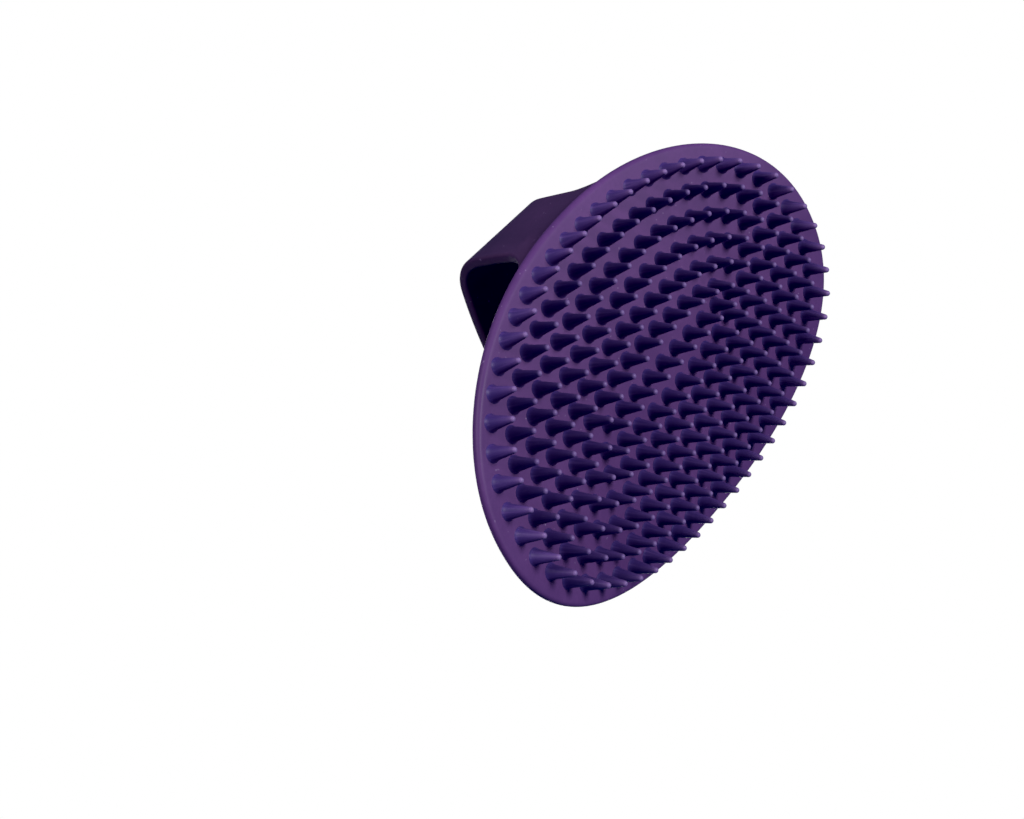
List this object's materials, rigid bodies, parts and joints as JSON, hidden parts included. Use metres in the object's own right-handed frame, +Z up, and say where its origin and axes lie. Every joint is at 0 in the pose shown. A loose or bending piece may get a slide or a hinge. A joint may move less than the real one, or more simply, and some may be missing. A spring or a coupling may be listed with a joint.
{
  "type": "curry comb",
  "caption": "Oval rubber palm curry comb: a saddle-shaped pad covered in nested rings of tapered round-tipped teeth, with a two-part button strap across its back.",
  "frame": {"origin": "middle of the pad in plan, at the height of the lowest tooth tips", "axes": "+X along the pad towards its slightly wider end, +Y across it towards the stud half of the strap, +Z up from the teeth to the strap"},
  "size_m": [0.1324, 0.0882, 0.0542],
  "materials": {
    "pad_rubber": "satin purple moulded rubber",
    "tooth_rubber": "satin purple moulded rubber",
    "strap_rubber": "satin purple moulded rubber"
  },
  "bodies": {
    "comb": {"pad": "pad_rubber", "tooth_ring_1": "tooth_rubber", "tooth_ring_2": "tooth_rubber", "tooth_ring_3": "tooth_rubber", "tooth_ring_4": "tooth_rubber", "tooth_ring_5": "tooth_rubber", "tooth_ring_6": "tooth_rubber", "tooth_row_middle": "tooth_rubber", "hole_strap_root": "strap_rubber", "stud_strap_root": "strap_rubber"},
    "hole_strap": {"hole_strap": "strap_rubber"},
    "stud_strap": {"stud_strap": "strap_rubber", "strap_studs": "strap_rubber"},
    "strap_tab": {"strap_tab": "strap_rubber"}
  },
  "joints": [
    {"name": "hole_strap_swing", "type": "hinge", "parent": "comb", "child": "hole_strap", "pos_m": [0, -0.04303, 0.02116], "axis": [1, 0, 0], "range_deg": [0, 120]},
    {"name": "stud_strap_swing", "type": "hinge", "parent": "comb", "child": "stud_strap", "pos_m": [0, 0.04303, 0.02116], "axis": [-1, 0, 0], "range_deg": [0, 60]},
    {"name": "strap_tab_peel", "type": "hinge", "parent": "hole_strap", "child": "strap_tab", "pos_m": [0, -0.01921, 0.0506], "axis": [1, 0, 0], "range_deg": [0, 95]}
  ],
  "couplings": [
    {"joint": "stud_strap_swing", "follows": "hole_strap_swing", "ratio": 0.5}
  ]
}
